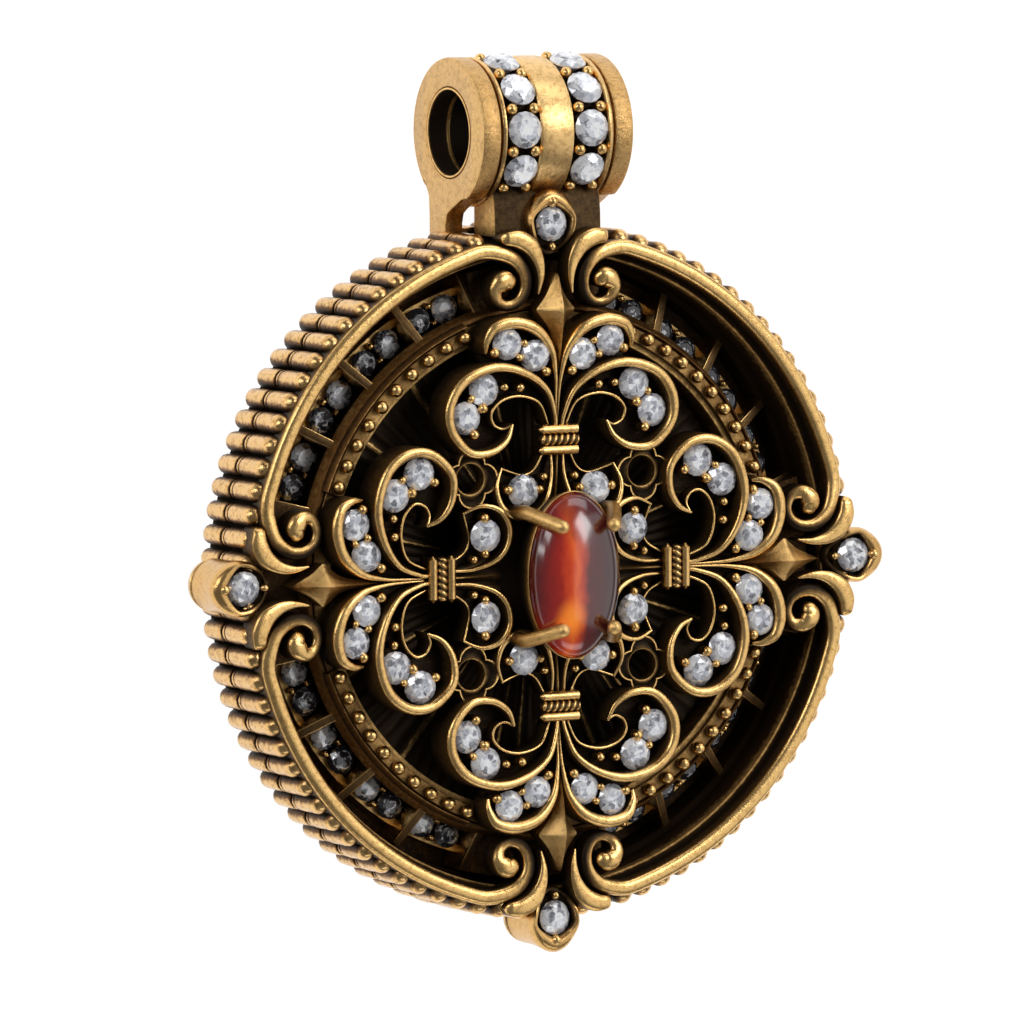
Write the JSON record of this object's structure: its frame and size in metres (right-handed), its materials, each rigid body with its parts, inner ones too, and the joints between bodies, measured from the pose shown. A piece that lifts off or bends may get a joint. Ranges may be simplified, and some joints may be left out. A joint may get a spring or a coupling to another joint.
{
  "type": "gemstone medallion pendant",
  "caption": "Round openwork medallion with clear stones, an oval orange centre stone and a ribbed drum, whose front swings up on a hinged bail.",
  "frame": {"origin": "centre of the flat back face, which the medallion lies on", "axes": "+Z out of the jewelled face, +Y from the centre to the bail, +X to the right seen from the front"},
  "size_m": [0.037, 0.0436, 0.0104],
  "materials": {
    "antique_gold": "satin antique gold with dark patina in the recesses",
    "patina": "dark brown patina",
    "clear_stone": "polished brilliant cut",
    "orange_cabochon": "polished dome"
  },
  "bodies": {
    "back_half": {"back_case": "antique_gold", "hinge_tube": "antique_gold", "window_ring": "patina", "granule_ring": "antique_gold", "sun_plate": "antique_gold", "tray_stones": "clear_stone"},
    "front_half": {"front_case": "antique_gold", "knuckle": "antique_gold", "filigree": "antique_gold", "cabochon": "orange_cabochon", "curl_stones": "clear_stone", "bail_stones": "clear_stone", "north_tip_stone": "clear_stone", "north_petal_inner_stone_right": "clear_stone", "north_petal_outer_stone_right": "clear_stone", "north_scroll_outer_stone_right": "clear_stone", "north_scroll_inner_stone_right": "clear_stone", "north_petal_inner_stone_left": "clear_stone", "north_petal_outer_stone_left": "clear_stone", "north_scroll_outer_stone_left": "clear_stone", "north_scroll_inner_stone_left": "clear_stone", "east_tip_stone": "clear_stone", "east_petal_inner_stone_right": "clear_stone", "east_petal_outer_stone_right": "clear_stone", "east_scroll_outer_stone_right": "clear_stone", "east_scroll_inner_stone_right": "clear_stone", "east_petal_inner_stone_left": "clear_stone", "east_petal_outer_stone_left": "clear_stone", "east_scroll_outer_stone_left": "clear_stone", "east_scroll_inner_stone_left": "clear_stone", "south_tip_stone": "clear_stone", "south_petal_inner_stone_right": "clear_stone", "south_petal_outer_stone_right": "clear_stone", "south_scroll_outer_stone_right": "clear_stone", "south_scroll_inner_stone_right": "clear_stone", "south_petal_inner_stone_left": "clear_stone", "south_petal_outer_stone_left": "clear_stone", "south_scroll_outer_stone_left": "clear_stone", "south_scroll_inner_stone_left": "clear_stone", "west_tip_stone": "clear_stone", "west_petal_inner_stone_right": "clear_stone", "west_petal_outer_stone_right": "clear_stone", "west_scroll_outer_stone_right": "clear_stone", "west_scroll_inner_stone_right": "clear_stone", "west_petal_inner_stone_left": "clear_stone", "west_petal_outer_stone_left": "clear_stone", "west_scroll_outer_stone_left": "clear_stone", "west_scroll_inner_stone_left": "clear_stone"}
  },
  "joints": [
    {"name": "bail_hinge", "type": "hinge", "parent": "back_half", "child": "front_half", "pos_m": [0, 0.02135, 0.00365], "axis": [-1, 0, 0], "range_deg": [0, 120]}
  ]
}
